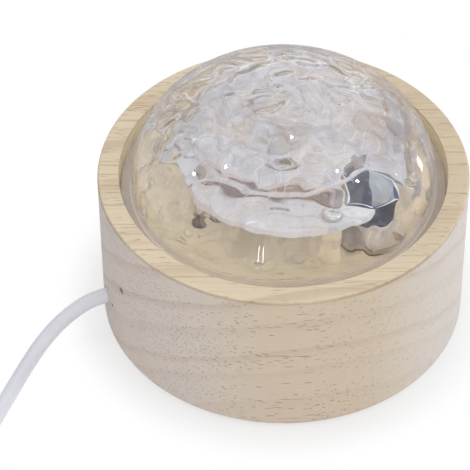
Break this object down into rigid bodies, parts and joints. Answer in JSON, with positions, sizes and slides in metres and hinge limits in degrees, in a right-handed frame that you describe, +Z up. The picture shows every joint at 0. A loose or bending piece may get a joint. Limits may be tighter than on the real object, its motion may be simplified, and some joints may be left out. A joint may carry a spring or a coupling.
{
  "type": "ripple lamp",
  "caption": "Small table lamp: turned wooden base, clear rippled dome, motor-driven ripple disc over a faceted light, white cord with inline switch and plug.",
  "frame": {"origin": "centre of the round base on the surface that the lamp stands on", "axes": "+Z up along the rotor's axis; the cord leaves towards -X, turned 15 degrees towards -Y, where the viewer is"},
  "size_m": [0.1984, 0.1401, 0.0761],
  "materials": {
    "wood": "fine turned pale wood, thin satin lacquer",
    "clear_dome": "clear, smooth outside, rippled inside",
    "clear_disc": "clear moulded plastic",
    "seal": "soft translucent silicone",
    "white_board": "white coated board, satin",
    "white_moulding": "white moulded plastic",
    "cover_moulding": "fine matt moulding",
    "rubber": "matt rubber",
    "steel": "plated steel",
    "motor_steel": "drawn and plated can",
    "dark_moulding": "black moulded plastic",
    "brass": "turned brass",
    "aluminium": "turned, fine lathe marks",
    "emitter": "clear silicone over a yellow phosphor",
    "bright_facets": "vacuum plated, mirror bright",
    "board_green": "green solder mask",
    "board_parts": "moulded component bodies",
    "wire": "thin insulated wire",
    "white_cord": "white flexible sheath, satin",
    "white_case": "white moulded plastic, satin",
    "tongue": "white insulator"
  },
  "bodies": {
    "base": {"wood_base": "wood", "deck_posts": "wood", "dome": "clear_dome", "dome_gasket": "seal", "lamp_deck": "white_board", "bottom_cover": "cover_moulding", "cord_clamp": "cover_moulding", "rubber_feet": "rubber", "cover_screws": "steel", "board_screws": "steel", "clamp_screws": "steel", "motor_screws": "steel", "bracket_screws": "steel", "deck_screws": "steel", "motor_bracket": "steel", "plug_shell": "steel", "motor_can": "motor_steel", "motor_cap": "dark_moulding", "switch_core": "dark_moulding", "shaft_bush": "brass", "heat_sink": "aluminium", "lamp_board": "aluminium", "emitter": "emitter", "reflector": "bright_facets", "driver_board": "board_green", "board_parts": "board_parts", "supply_wires": "wire", "motor_leads": "wire", "lamp_leads": "wire", "cord_entry": "white_cord", "cord_lead": "white_cord", "cord_link": "white_cord", "cord_coil": "white_cord", "cord_tail": "white_cord", "switch_base": "white_case", "switch_cover": "white_case", "plug_body": "white_case", "plug_tongue": "tongue"},
    "rotor": {"rotor_shaft": "steel", "rotor_gear": "white_moulding", "rotor_hub": "white_moulding", "ripple_disc": "clear_disc", "rotor_cap": "white_moulding"},
    "pinion": {"motor_shaft": "steel", "pinion": "white_moulding"},
    "button": {"switch_button": "white_case"}
  },
  "joints": [
    {"name": "rotor_spin", "type": "hinge", "parent": "base", "child": "rotor", "pos_m": [0, 0, 0.0606], "axis": [0, 0, 1], "continuous": true},
    {"name": "pinion_spin", "type": "hinge", "parent": "base", "child": "pinion", "pos_m": [-0.01474, 0.01032, 0.0496], "axis": [0, 0, 1], "continuous": true},
    {"name": "button_press", "type": "slide", "parent": "base", "child": "button", "axis": [0, 0, -1], "range_m": [0, 0.0012], "stiffness_N_per_m": 300, "springref_m": -0.001}
  ],
  "couplings": [
    {"joint": "pinion_spin", "follows": "rotor_spin", "ratio": -4}
  ]
}
